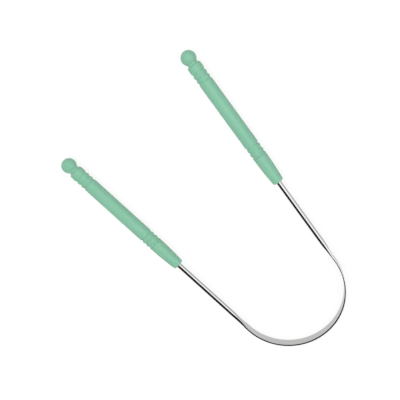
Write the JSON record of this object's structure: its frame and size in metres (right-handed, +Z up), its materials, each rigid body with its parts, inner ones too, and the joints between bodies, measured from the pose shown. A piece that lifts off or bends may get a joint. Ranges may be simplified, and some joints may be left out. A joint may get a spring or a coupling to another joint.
{
  "type": "tongue scraper",
  "caption": "U-shaped sprung steel bow, rolled into a flat scraping band round the bend, with turned plastic handles.",
  "frame": {"origin": "under the middle of the object's box, in the plane that the two balls rest on", "axes": "+Y along the middle line from the handles to the bend, +Z up, square to the plane of the wire"},
  "size_m": [0.0834, 0.145, 0.0073],
  "materials": {
    "spring_steel": "polished stainless",
    "handle_plastic": "satin moulded"
  },
  "bodies": {
    "root": {"scraper_bow": "spring_steel", "left_handle": "handle_plastic", "right_handle": "handle_plastic"}
  },
  "joints": []
}
